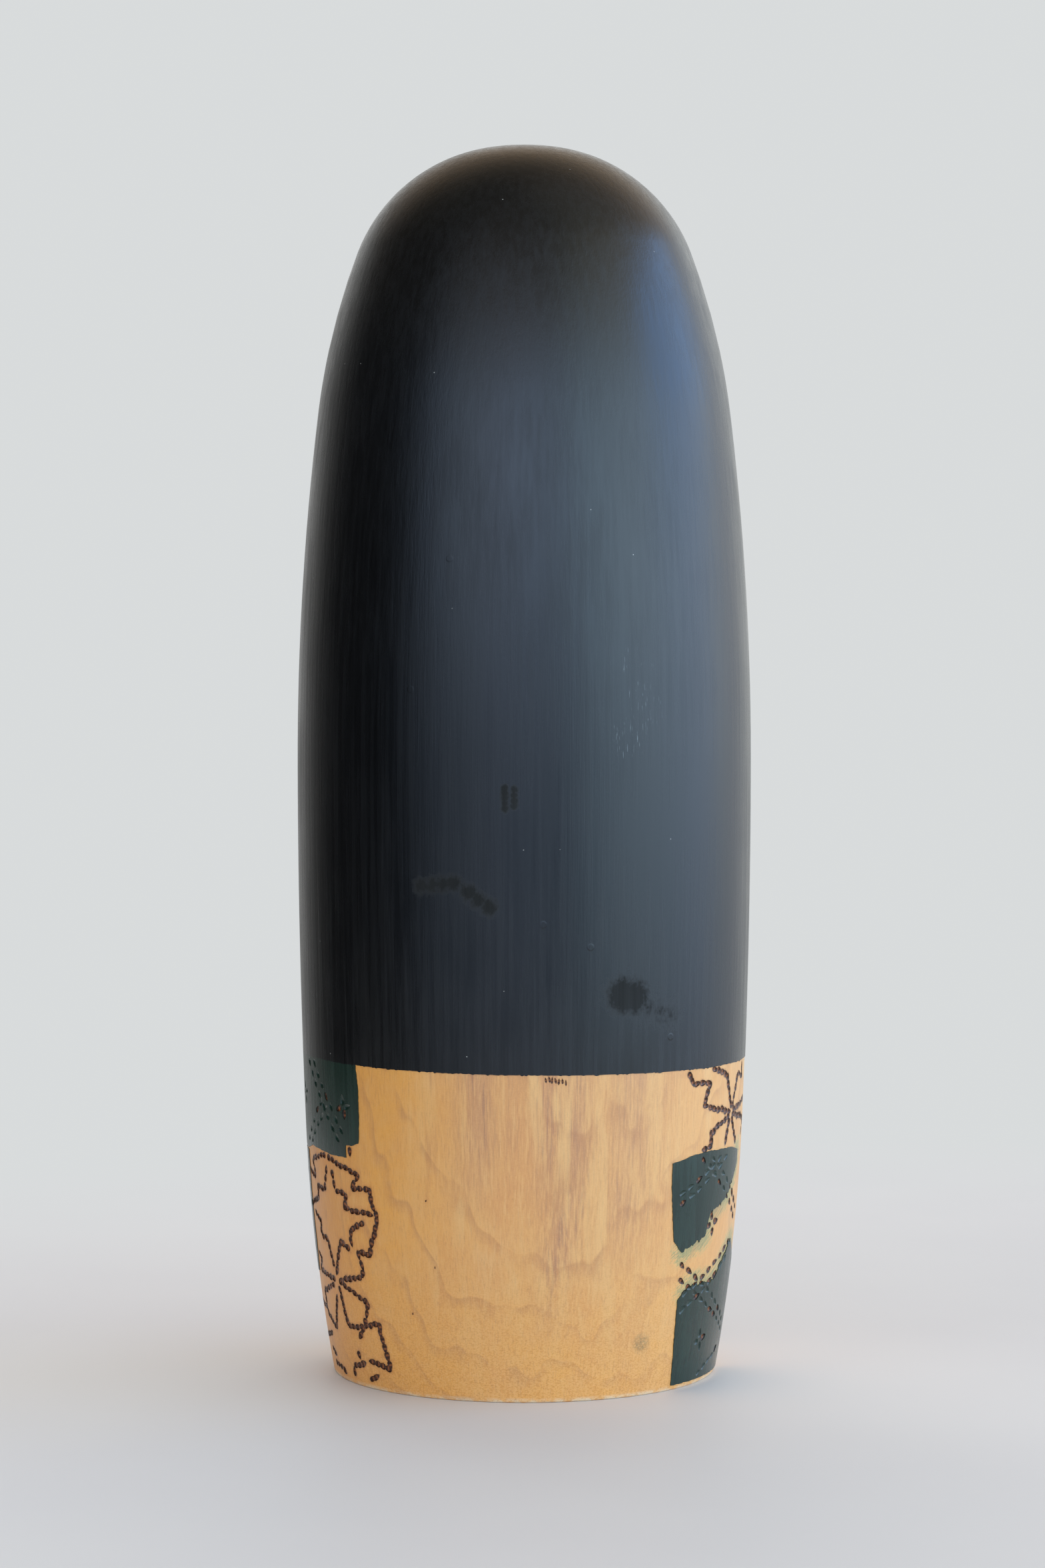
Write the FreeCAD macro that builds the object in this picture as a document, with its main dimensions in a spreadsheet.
import FreeCAD, Part
import math
import os
import Sketcher
from FreeCAD import Placement, Rotation, Vector

# A large creative kokeshi doll: one tall bullet shape turned from a single block of pale
# wood, with a turned egg-shaped head let into an opening in its front, and coats of paint.
# Frame: millimetres, origin at the centre of the foot, +Z up, and the doll faces -Y.
# Its own left hand is at +X.  A turn is an angle about +Z from the middle of the back
# (+Y), positive towards -X, so it runs to the right for someone who stands behind.

SIZES = {
    # the turned outline, from the crown down
    "height": 350.0,
    "widest_radius": 64.8,
    "widest_height": 174.5,
    "foot_radius": 54.6,
    "crown_radius": 91.0,
    "crown_reach": 7.4,
    "cap_radius": 47.0,
    "shoulder_radius": 198.0,
    "side_radius": 820.0,
    "belly_radius": 2430.0,
    "skirt_radius": 528.0,
    # the foot
    "foot_chamfer": 0.6,
    "dish_radius": 43.0,
    "dish_depth": 1.2,
    "centre_mark_radius": 3.0,
    "centre_mark_depth": 4.0,
    # the head, its opening and its dowel
    "head_height": 247.0,
    "head_forward": 29.5,
    "head_half_width": 32.0,
    "head_top": 34.0,
    "head_chin": 38.0,
    "cheek_radius": 40.0,
    "head_gap": 1.2,
    "dowel_radius": 4.0,
    "dowel_length": 25.0,
    "dowel_chamfer": 0.8,
    "dowel_in_block": 12.0,
    # the coats of paint
    "coat": 0.2,
    "hem_height": 91.0,
    "hair_hem_half": 61.0,
    "hair_chin_half": 13.0,
    "hair_chin_height": 214.0,
    "hair_edge_radius": 150.0,
    "fringe_rise": 11.0,
    "collar_top": 203.0,
    "collar_outer_half": 22.0,
    "collar_inner_half": 12.0,
    "collar_inner_tip": 160.0,
    "collar_outer_tip": 138.0,
    # the painted face
    "eye_spacing": 12.5,
    "eye_drop": 4.0,
    "eye_half": 5.5,
    "eye_arch": 2.2,
    "eye_hollow": 1.1,
    "mouth_drop": 20.0,
    "mouth_half": 3.0,
    "mouth_rise": 0.9,
    "mouth_fall": 1.5,
}

# Painted panels: the turn of the middle, the width, the height of the lower and of the
# upper edge on the left as seen from outside, and how far each climbs to the right.
PANELS = {
    "panel_left_top": (-66.4, 41.0, 65.0, 90.8, 2.0, 0.0),
    "panel_left_front": (-105.0, 37.0, 29.0, 64.0, 0.0, 0.0),
    "panel_front_left_high": (-143.0, 37.0, 66.0, 100.0, 0.0, 1.0),
    "panel_front_left_low": (-143.0, 36.0, 1.5, 29.0, 0.0, -1.0),
    "panel_front_centre": (180.0, 37.0, 30.0, 65.0, 0.0, 0.0),
    "panel_front_right_high": (143.0, 37.0, 66.0, 101.0, 1.0, -1.0),
    "panel_front_right_low": (143.0, 36.0, 1.5, 28.0, 0.0, 1.0),
    "panel_right_upper": (60.0, 38.0, 38.5, 66.0, 18.0, 0.5),
    "panel_right_lower": (68.0, 42.0, 1.5, 30.0, 0.0, 13.0),
}
PANEL_FIELDS = ("turn", "width", "foot", "head", "foot_climb", "head_climb")

OUTLINE_ARCS = ("crown_radius", "cap_radius", "shoulder_radius", "side_radius",
                "belly_radius", "skirt_radius")
REACH = 90.0          # how far the cutting prisms run outwards, well past the widest radius
NEAR = 5.0            # where those prisms start, this far out from the axis

# The head's outline is an oval of three arcs.  The cheeks have one radius, and these are
# the radii of the arcs over the crown and round the chin that run on from them smoothly.
HEAD_CROWN = ("((sizes.cheek_radius^2 - sizes.head_top^2"
              " - (sizes.cheek_radius - sizes.head_half_width)^2)"
              " / (2 * (sizes.cheek_radius - sizes.head_top)))")
HEAD_CHIN = HEAD_CROWN.replace("head_top", "head_chin")

doc = FreeCAD.newDocument("kokeshi")
sheet = doc.addObject("Spreadsheet::Sheet", "sizes")


def fill_sheet():
    """Write every driving dimension into the sheet, under its own alias."""
    rows = dict(SIZES)
    for panel, values in PANELS.items():
        for field, value in zip(PANEL_FIELDS, values):
            rows[panel + "_" + field] = value
    for row, (alias, value) in enumerate(rows.items(), start=1):
        sheet.set("A%d" % row, alias.replace("_", " "))
        sheet.set("B%d" % row, str(value))
        sheet.setAlias("B%d" % row, alias)
    doc.recompute()


def size(alias):
    """Read one dimension back from the sheet."""
    return float(sheet.get(alias))


def origin_plane(body, role):
    """One of a body's own origin planes or axes."""
    return next(item for item in body.Origin.OriginFeatures if item.Role == role)


def new_body(name):
    """A body whose Label is the sub-part's name."""
    body = doc.addObject("PartDesign::Body", name)
    body.Label = name
    return body


def flat_sketch(body, name, role="XZ_Plane", offset=None):
    """A sketch on one of the body's own planes."""
    sketch = body.newObject("Sketcher::SketchObject", name)
    sketch.AttachmentSupport = [(origin_plane(body, role), "")]
    sketch.MapMode = "FlatFace"
    if offset is not None:
        sketch.AttachmentOffset = offset
    return sketch


def bind(sketch, constraint, expression):
    """Drive one named dimension of a sketch from the sheet."""
    index = sketch.addConstraint(constraint)
    sketch.setExpression("Constraints[%d]" % index, expression)
    return index


def arc(centre, radius, start, end):
    """A sketch arc that runs counter-clockwise from start to end, in radians."""
    circle = Part.Circle(Vector(centre[0], centre[1], 0), Vector(0, 0, 1), radius)
    return Part.ArcOfCircle(circle, start, end)


def outline_guess():
    """Centres and end angles of the outline's arcs, close enough for the sketch to solve.

    The angles are those of the outward normal, measured from straight up."""
    angles = [0.0, 4.7, 69.0, 83.0, 90.0, 92.4]
    radii = [size(alias) for alias in OUTLINE_ARCS]
    centre = (0.0, size("height") - radii[0])
    pieces = []
    for index, radius in enumerate(radii):
        if index:
            turn = math.radians(angles[index])
            slip = radii[index - 1] - radius
            centre = (centre[0] + math.sin(turn) * slip, centre[1] + math.cos(turn) * slip)
        if index + 1 < len(angles):
            last = math.radians(angles[index + 1])
        else:
            last = math.acos(max(-1.0, -centre[1] / radius))
        pieces.append((centre, radius, math.radians(angles[index]), last))
    return pieces


def turned_outline(sketch, grow):
    """The closed half outline of the doll, grown outwards by an expression such as 0 mm."""
    quarter = math.pi / 2
    first, last = 0, len(OUTLINE_ARCS) - 1
    pieces = outline_guess()
    for centre, radius, start, end in pieces:
        sketch.addGeometry(arc(centre, radius, quarter - end, quarter - start), False)
    foot = pieces[-1][0][0] + pieces[-1][1] * math.sin(pieces[-1][3])
    base = sketch.addGeometry(Part.LineSegment(Vector(foot, 0, 0), Vector(0, 0, 0)), False)
    axis = sketch.addGeometry(
        Part.LineSegment(Vector(0, 0, 0), Vector(0, size("height"), 0)), False)
    # the sketch's own numbers: -1 is its horizontal axis, -2 its vertical axis;
    # a point 1 is a start, 2 an end, 3 a centre
    for index in range(first, last):
        sketch.addConstraint(Sketcher.Constraint("Tangent", index, 1, index + 1, 2))
    sketch.addConstraint(Sketcher.Constraint("Coincident", last, 1, base, 1))
    sketch.addConstraint(Sketcher.Constraint("Coincident", base, 2, axis, 1))
    sketch.addConstraint(Sketcher.Constraint("Coincident", axis, 2, first, 2))
    sketch.addConstraint(Sketcher.Constraint("Coincident", axis, 1, -1, 1))
    sketch.addConstraint(Sketcher.Constraint("Horizontal", base))
    sketch.addConstraint(Sketcher.Constraint("Vertical", axis))
    sketch.addConstraint(Sketcher.Constraint("PointOnObject", first, 3, -2))
    # the widest place is where two arcs meet with their centres on one level
    side = OUTLINE_ARCS.index("side_radius")
    sketch.addConstraint(Sketcher.Constraint("Horizontal", side, 3, side + 1, 3))
    for index, alias in enumerate(OUTLINE_ARCS):
        bind(sketch, Sketcher.Constraint("Radius", index, pieces[index][1]),
             "sizes.%s + %s" % (alias, grow))
    bind(sketch, Sketcher.Constraint("DistanceY", -1, 1, axis, 2, size("height")),
         "sizes.height + %s" % grow)
    bind(sketch, Sketcher.Constraint("DistanceX", -1, 1, side, 1, size("widest_radius")),
         "sizes.widest_radius + %s" % grow)
    bind(sketch, Sketcher.Constraint("DistanceY", -1, 1, side, 1, size("widest_height")),
         "sizes.widest_height")
    bind(sketch, Sketcher.Constraint("DistanceX", -1, 1, first, 1, size("crown_reach")),
         "sizes.crown_reach * (1 + (%s) / sizes.crown_radius)" % grow)
    bind(sketch, Sketcher.Constraint("DistanceX", -1, 1, base, 1, size("foot_radius")),
         "sizes.foot_radius + %s" % grow)


def oval_radii():
    """Radii of the crown, cheek and chin arcs of the head's outline."""
    cheek = size("cheek_radius")
    inset = cheek - size("head_half_width")
    crown, chin = [(cheek ** 2 - reach ** 2 - inset ** 2) / (2 * (cheek - reach))
                   for reach in (size("head_top"), size("head_chin"))]
    return crown, cheek, chin


def oval(sketch, grow, half):
    """The head's outline, or its right half closed along the axis, grown by an expression."""
    crown, cheek, chin = oval_radii()
    inset = cheek - size("head_half_width")
    crown_y, chin_y = size("head_top") - crown, chin - size("head_chin")
    quarter = math.pi / 2
    high = math.atan2(crown_y, inset)
    low = math.atan2(-chin_y, inset)
    left_high = math.pi - high
    left_low = math.pi + low
    if half:
        shapes = [arc((0, crown_y), crown, high, quarter),
                  arc((-inset, 0), cheek, -low, high),
                  arc((0, chin_y), chin, -quarter, -low)]
    else:
        shapes = [arc((0, crown_y), crown, high, left_high),
                  arc((-inset, 0), cheek, -low, high),
                  arc((0, chin_y), chin, left_low - 2 * math.pi, -low),
                  arc((inset, 0), cheek, left_high, left_low)]
    for shape in shapes:
        sketch.addGeometry(shape, False)
    sketch.addConstraint(Sketcher.Constraint("Tangent", 0, 1, 1, 2))
    sketch.addConstraint(Sketcher.Constraint("Tangent", 1, 1, 2, 2))
    if half:
        axis = sketch.addGeometry(
            Part.LineSegment(Vector(0, -size("head_chin"), 0), Vector(0, size("head_top"), 0)),
            False)
        sketch.addConstraint(Sketcher.Constraint("Coincident", axis, 1, 2, 1))
        sketch.addConstraint(Sketcher.Constraint("Coincident", axis, 2, 0, 2))
        sketch.addConstraint(Sketcher.Constraint("PointOnObject", axis, 1, -2))
        sketch.addConstraint(Sketcher.Constraint("PointOnObject", axis, 2, -2))
    else:
        sketch.addConstraint(Sketcher.Constraint("Tangent", 2, 1, 3, 2))
        sketch.addConstraint(Sketcher.Constraint("Tangent", 3, 1, 0, 2))
        sketch.addConstraint(Sketcher.Constraint("PointOnObject", 3, 3, -1))
    sketch.addConstraint(Sketcher.Constraint("PointOnObject", 0, 3, -2))
    sketch.addConstraint(Sketcher.Constraint("PointOnObject", 1, 3, -1))
    sketch.addConstraint(Sketcher.Constraint("PointOnObject", 2, 3, -2))
    bind(sketch, Sketcher.Constraint("Radius", 0, crown), HEAD_CROWN + " + " + grow)
    bind(sketch, Sketcher.Constraint("Radius", 1, cheek), "sizes.cheek_radius + " + grow)
    bind(sketch, Sketcher.Constraint("Radius", 2, chin), HEAD_CHIN + " + " + grow)
    bind(sketch, Sketcher.Constraint("DistanceX", 1, 3, -1, 1, inset),
         "sizes.cheek_radius - sizes.head_half_width")


def polygon(sketch, points):
    """A closed outline of straight edges.

    Each point is a pair of expressions, across and up.  Where one is None the point has
    the same value there as the point before it."""
    count = len(points)
    corners = []
    for across, up in points:
        values = [corners[-1][axis] if text is None else evaluate(text)
                  for axis, text in enumerate((across, up))]
        corners.append(values)
    for index in range(count):
        start, end = corners[index], corners[(index + 1) % count]
        sketch.addGeometry(Part.LineSegment(Vector(start[0], start[1], 0),
                                            Vector(end[0], end[1], 0)), False)
    for index in range(count):
        sketch.addConstraint(
            Sketcher.Constraint("Coincident", index, 2, (index + 1) % count, 1))
    for index, (across, up) in enumerate(points):
        pin(sketch, index, across, up)


def pin(sketch, edge, across, up, point=1):
    """Hold one end of an edge at a place given by two expressions."""
    for kind, text in (("DistanceX", across), ("DistanceY", up)):
        if text is None:
            same = "Vertical" if kind == "DistanceX" else "Horizontal"
            sketch.addConstraint(Sketcher.Constraint(same, edge - 1))
        elif evaluate(text) == 0.0:
            # a point at nought lies on the sketch's own axis
            axis = -2 if kind == "DistanceX" else -1
            sketch.addConstraint(Sketcher.Constraint("PointOnObject", edge, point, axis))
        elif evaluate(text) > 0.0:
            bind(sketch, Sketcher.Constraint(kind, -1, 1, edge, point, evaluate(text)), text)
        else:
            bind(sketch, Sketcher.Constraint(kind, edge, point, -1, 1, -evaluate(text)),
                 "-(%s)" % text)


def evaluate(expression):
    """The value of an expression over the sheet."""
    return float(sheet.evalExpression(expression))


def revolve(body, sketch, name, cut=False):
    """Turn a sketch once round its own vertical axis, adding or cutting."""
    kind = "PartDesign::Groove" if cut else "PartDesign::Revolution"
    feature = body.newObject(kind, name)
    feature.Profile = sketch
    feature.ReferenceAxis = (sketch, ["V_Axis"])
    feature.Angle = 360.0
    doc.recompute()
    return feature


def pocket(body, sketch, name, length=None, outwards=False):
    """Cut a sketch straight in, or outwards through everything, and check that it cut."""
    before = body.Shape.Volume
    feature = body.newObject("PartDesign::Pocket", name)
    feature.Profile = sketch
    feature.Reversed = outwards
    if length is None:
        feature.Type = "ThroughAll"
    else:
        feature.Type = "Length"
        feature.setExpression("Length", length)
    doc.recompute()
    if body.Shape.Volume >= before:
        raise RuntimeError(name + " cuts nothing")
    return feature


def at_head():
    """Puts a sketch on the upright plane through the middle of the head."""
    return Placement(Vector(0, size("head_height"), size("head_forward")), Rotation())


def head_sketch(body, name):
    """A sketch on that plane, which follows the sheet."""
    sketch = flat_sketch(body, name, offset=at_head())
    sketch.setExpression("AttachmentOffset.Base.y", "sizes.head_height")
    sketch.setExpression("AttachmentOffset.Base.z", "sizes.head_forward")
    return sketch


def hollow_for_head(body, gap):
    """The opening for the head: its own oval turned round, and run out to the front."""
    sketch = head_sketch(body, body.Name + "_hollow")
    oval(sketch, gap, half=True)
    revolve(body, sketch, body.Name + "_hollow_groove", cut=True)
    sketch = head_sketch(body, body.Name + "_opening")
    oval(sketch, gap, half=False)
    pocket(body, sketch, body.Name + "_opening_pocket", outwards=True)
    sketch = head_sketch(body, body.Name + "_dowel_hole")
    dowel_circle(sketch)
    pocket(body, sketch, body.Name + "_dowel_pocket",
           length="sizes.head_half_width + sizes.head_gap + sizes.dowel_in_block")


def dowel_circle(sketch):
    """The dowel's round section, on the middle line of the head."""
    circle = Part.Circle(Vector(0, 0, 0), Vector(0, 0, 1), size("dowel_radius"))
    sketch.addGeometry(circle, False)
    sketch.addConstraint(Sketcher.Constraint("Coincident", 0, 3, -1, 1))
    bind(sketch, Sketcher.Constraint("Radius", 0, size("dowel_radius")), "sizes.dowel_radius")


def foot_edge(shape):
    """Name of the round edge that the doll stands on."""
    for index, edge in enumerate(shape.Edges, start=1):
        box = edge.BoundBox
        if box.ZMax < 1e-6 and abs(box.XMax - size("foot_radius")) < 1e-3:
            return "Edge%d" % index
    raise RuntimeError("no foot edge")


def make_body_block():
    """The turned block: outline, softened foot, dished underside, hollow for the head."""
    body = new_body("body_block")
    sketch = flat_sketch(body, "block_outline")
    turned_outline(sketch, "0")
    turned = revolve(body, sketch, "block_turned")
    chamfer = body.newObject("PartDesign::Chamfer", "foot_softened")
    chamfer.Base = (turned, [foot_edge(turned.Shape)])
    chamfer.setExpression("Size", "sizes.foot_chamfer")
    doc.recompute()
    sketch = flat_sketch(body, "underside")
    polygon(sketch, [("0", "0"), ("sizes.dish_radius", "0"),
                     ("sizes.dish_radius - 4 * sizes.dish_depth", "sizes.dish_depth"),
                     ("sizes.centre_mark_radius", None),
                     ("0", "sizes.dish_depth + sizes.centre_mark_depth")])
    revolve(body, sketch, "underside_dish", cut=True)
    hollow_for_head(body, "sizes.head_gap")
    return body


def make_grown_skin():
    """The same block one coat of paint larger, only used to cut the coats from."""
    body = new_body("grown_skin")
    sketch = flat_sketch(body, "grown_outline")
    turned_outline(sketch, "sizes.coat")
    revolve(body, sketch, "grown_turned")
    hollow_for_head(body, "(sizes.head_gap - sizes.coat)")
    return body


def make_head(name, grow):
    """The turned head, or the head one coat of paint larger."""
    body = new_body(name)
    body.setExpression("Placement.Base.y", "-sizes.head_forward")
    body.setExpression("Placement.Base.z", "sizes.head_height")
    sketch = flat_sketch(body, name + "_outline")
    oval(sketch, grow, half=True)
    revolve(body, sketch, name + "_turned")
    return body


def bore_head(body):
    """The dowel's hole in the back of the head."""
    sketch = flat_sketch(body, "head_dowel_hole")
    sketch.AttachmentOffset = Placement(Vector(0, 0, -size("head_half_width")), Rotation())
    sketch.setExpression("AttachmentOffset.Base.z", "-sizes.head_half_width")
    dowel_circle(sketch)
    pocket(body, sketch, "head_dowel_pocket", outwards=True,
           length="sizes.dowel_length - sizes.head_gap - sizes.dowel_in_block")


def make_dowel():
    """The dowel that holds the head, along Y, with softened ends."""
    body = new_body("head_dowel")
    body.setExpression("Placement.Base.y", "sizes.head_half_width + sizes.head_gap"
                       " + sizes.dowel_in_block - sizes.head_forward")
    body.setExpression("Placement.Base.z", "sizes.head_height")
    sketch = flat_sketch(body, "dowel_section")
    dowel_circle(sketch)
    pad = body.newObject("PartDesign::Pad", "dowel_pad")
    pad.Profile = sketch
    pad.setExpression("Length", "sizes.dowel_length")
    doc.recompute()
    ends = ["Face%d" % index for index, face in enumerate(pad.Shape.Faces, start=1)
            if isinstance(face.Surface, Part.Plane)]
    chamfer = body.newObject("PartDesign::Chamfer", "dowel_ends")
    chamfer.Base = (pad, ends)
    chamfer.setExpression("Size", "sizes.dowel_chamfer")
    doc.recompute()
    return body


def prism(name, sketch, start, length):
    """A sketch run out along its own normal."""
    solid = doc.addObject("Part::Extrusion", name)
    solid.Base = sketch
    solid.DirMode = "Custom"
    solid.Dir = sketch.Placement.Rotation.multVec(Vector(0, 0, 1))
    solid.LengthFwd = start + length
    solid.LengthRev = -start
    solid.Solid = True
    return solid


def upright_sketch(name, turn):
    """A loose sketch on the axis, facing outwards at a turn, across and up."""
    sketch = doc.addObject("Sketcher::SketchObject", name)
    facing = Rotation(Vector(0, 0, 1), 180.0 + turn).multiply(Rotation(Vector(1, 0, 0), 90.0))
    sketch.Placement = Placement(Vector(0, 0, 0), facing)
    return sketch


def common(name, first, second):
    """What two shapes share, as a sub-part's object."""
    shared = doc.addObject("Part::Common", name)
    shared.Label = name
    shared.Base = first
    shared.Tool = second
    return shared


def cut(name, first, second):
    """One shape less another."""
    rest = doc.addObject("Part::Cut", name)
    rest.Label = name
    rest.Base = first
    rest.Tool = second
    return rest


def hair_window():
    """The gap in the hair over the front: narrow at the chin, wide at the hem."""
    sketch = upright_sketch("hair_window", 180.0)
    half, low = size("hair_hem_half"), size("hem_height") - 1.0
    top_half, top = size("hair_chin_half"), size("hair_chin_height")
    radius = size("hair_edge_radius")
    chord = Vector(half - top_half, low - top, 0)
    middle = Vector((half + top_half) / 2, (low + top) / 2, 0)
    inward = Vector(chord.y, -chord.x, 0).normalize()
    centre = middle + inward * math.sqrt(radius ** 2 - (chord.Length / 2) ** 2)
    start = math.atan2(low - centre.y, half - centre.x)
    end = math.atan2(top - centre.y, top_half - centre.x)
    sketch.addGeometry(arc((centre.x, centre.y), radius, start, end), False)
    sketch.addGeometry(Part.LineSegment(Vector(top_half, top, 0), Vector(-top_half, top, 0)),
                       False)
    sketch.addGeometry(
        arc((-centre.x, centre.y), radius, math.pi - end, math.pi - start), False)
    sketch.addGeometry(Part.LineSegment(Vector(-half, low, 0), Vector(half, low, 0)), False)
    for before, here, after, there in ((0, 2, 1, 1), (1, 2, 2, 1), (2, 2, 3, 1), (3, 2, 0, 1)):
        sketch.addConstraint(Sketcher.Constraint("Coincident", before, here, after, there))
    sketch.addConstraint(Sketcher.Constraint("Symmetric", 1, 1, 1, 2, -2))
    sketch.addConstraint(Sketcher.Constraint("Symmetric", 3, 1, 3, 2, -2))
    pin(sketch, 1, "sizes.hair_chin_half", "sizes.hair_chin_height")
    pin(sketch, 3, "sizes.hair_hem_half", "sizes.hem_height - 1", point=2)
    for index in (0, 2):
        bind(sketch, Sketcher.Constraint("Radius", index, radius), "sizes.hair_edge_radius")
    return prism("hair_window_prism", sketch, NEAR, REACH)


def make_hair_coat(coats):
    """The black hair: over the crown and down the back and sides, and into the hollow."""
    above = doc.addObject("Part::Box", "above_hem")
    for side in ("Length", "Width"):
        setattr(above, side, 2 * REACH)
    above.setExpression("Height", "sizes.height")
    above.Placement = Placement(Vector(-REACH, -REACH, size("hem_height")), Rotation())
    above.setExpression("Placement.Base.z", "sizes.hem_height")
    return cut("hair_coat", common("hair_all_round", coats, above), hair_window())


def make_head_coat(head):
    """One coat of paint all over the head, only used to cut the painted strokes from."""
    return cut("head_coat", make_head("grown_head", "sizes.coat"), head)


def make_fringe_coat(coat):
    """The painted fringe: everything of the head above a level line."""
    above = doc.addObject("Part::Box", "above_fringe")
    for side in ("Length", "Width"):
        setattr(above, side, 2 * REACH)
    above.setExpression("Height", "sizes.height")
    above.Placement = Placement(Vector(-REACH, -REACH, size("head_height")), Rotation())
    above.setExpression("Placement.Base.z", "sizes.head_height + sizes.fringe_rise")
    return common("fringe_coat", coat, above)


def make_collar_coat(coats):
    """The painted V of the collar, below the chin."""
    sketch = upright_sketch("collar_outline", 180.0)
    outer, inner = "sizes.collar_outer_half", "sizes.collar_inner_half"
    polygon(sketch, [("-" + outer, "sizes.collar_top"), ("0", "sizes.collar_outer_tip"),
                     (outer, "sizes.collar_top"), (inner, "sizes.collar_top"),
                     ("0", "sizes.collar_inner_tip"), ("-" + inner, "sizes.collar_top")])
    return common("collar_coat", coats, prism("collar_prism", sketch, NEAR, REACH))


def lens(sketch, across, up, half, rise, fall):
    """A closed shape of two arcs between a left and a right tip, as a brush leaves it.

    Every argument is an expression.  rise is how far the upper arc stands over the tips
    and fall how far the lower arc hangs under them; below nought it arches up instead."""
    middle, level, reach = evaluate(across), evaluate(up), evaluate(half)
    first = sketch.GeometryCount
    for text, side in ((rise, 1), (fall, -1)):
        bow = evaluate(text) * side
        radius = (reach ** 2 + bow ** 2) / (2 * abs(bow))
        lift = radius if bow > 0 else -radius
        sweep = math.asin(reach / radius)
        aim = math.pi / 2 if bow > 0 else -math.pi / 2
        sketch.addGeometry(arc((middle, level + bow - lift), radius, aim - sweep, aim + sweep),
                           False)
    hangs = evaluate(fall) > 0
    tips = ((2, 1), (1, 2)) if hangs else ((1, 1), (2, 2))
    for upper, lower in tips:
        sketch.addConstraint(Sketcher.Constraint("Coincident", first, upper, first + 1, lower))
    pin(sketch, first, "%s + %s" % (across, half), up, point=1)
    pin(sketch, first, "%s - %s" % (across, half), up, point=2)
    for index, text in ((first, rise), (first + 1, fall)):
        radius = sketch.Geometry[index].Radius
        bind(sketch, Sketcher.Constraint("Radius", index, radius),
             "((%s)^2 + (%s)^2) / (2 * abs(%s))" % (half, text, text))


def make_eyes_coat(coat):
    """Two narrow arched eyes, each one stroke of the brush."""
    sketch = upright_sketch("eye_strokes", 180.0)
    for side in ("sizes.eye_spacing", "-sizes.eye_spacing"):
        lens(sketch, side, "sizes.head_height - sizes.eye_drop", "sizes.eye_half",
             "sizes.eye_arch", "-sizes.eye_hollow")
    return common("eyes_coat", coat, prism("eyes_prism", sketch, NEAR, REACH))


def make_mouth_coat(coat):
    """The small red mouth."""
    sketch = upright_sketch("mouth_stroke", 180.0)
    lens(sketch, "0", "sizes.head_height - sizes.mouth_drop", "sizes.mouth_half",
         "sizes.mouth_rise", "sizes.mouth_fall")
    return common("mouth_coat", coat, prism("mouth_prism", sketch, NEAR, REACH))


def make_panel(name, coats):
    """One painted panel, cut from the coat at the middle of the back, then turned."""
    sketch = upright_sketch(name + "_outline", 0.0)
    width, foot, head, foot_climb, head_climb = [
        "sizes.%s_%s" % (name, field) for field in PANEL_FIELDS[1:]]
    polygon(sketch, [("-" + width + " / 2", foot), (width + " / 2", foot + " + " + foot_climb),
                     (width + " / 2", head + " + " + head_climb), ("-" + width + " / 2", head)])
    panel = common(name, coats, prism(name + "_prism", sketch, NEAR, REACH))
    panel.Placement = Placement(Vector(0, 0, 0), Rotation(Vector(0, 0, 1), size(name + "_turn")))
    panel.setExpression("Placement.Rotation.Angle", "sizes.%s_turn" % name)
    return panel


def check(parts):
    """Stop if any object failed, or any sub-part has no good solid."""
    for item in doc.Objects:
        if "Invalid" in item.State or "Error" in item.State:
            raise RuntimeError(item.Name + " failed: " + str(item.State))
        if item.TypeId == "Sketcher::SketchObject" and not item.FullyConstrained:
            raise RuntimeError(item.Name + " isn't fully held by its sizes")
    for part in parts:
        shape = part.Shape
        if shape.isNull() or not shape.isValid() or not shape.Solids:
            raise RuntimeError(part.Label + " has no valid solid")
        box = shape.BoundBox
        print("%-24s solids %d  volume %10.1f  x %7.1f %7.1f  y %7.1f %7.1f  z %7.1f %7.1f" % (
            part.Label, len(shape.Solids), shape.Volume,
            box.XMin, box.XMax, box.YMin, box.YMax, box.ZMin, box.ZMax))


def main():
    fill_sheet()
    block = make_body_block()
    coats = cut("all_coats", make_grown_skin(), block)
    head = make_head("head", "0")
    bore_head(head)
    head_coat = make_head_coat(head)
    parts = [block, head, make_dowel(), make_hair_coat(coats), make_fringe_coat(head_coat),
             make_eyes_coat(head_coat), make_mouth_coat(head_coat), make_collar_coat(coats)]
    parts += [make_panel(name, coats) for name in PANELS]
    doc.recompute()
    check(parts)
    os.makedirs("parts", exist_ok=True)
    for part in parts:
        part.Shape.exportStep(os.path.join("parts", part.Label + ".step"))


main()
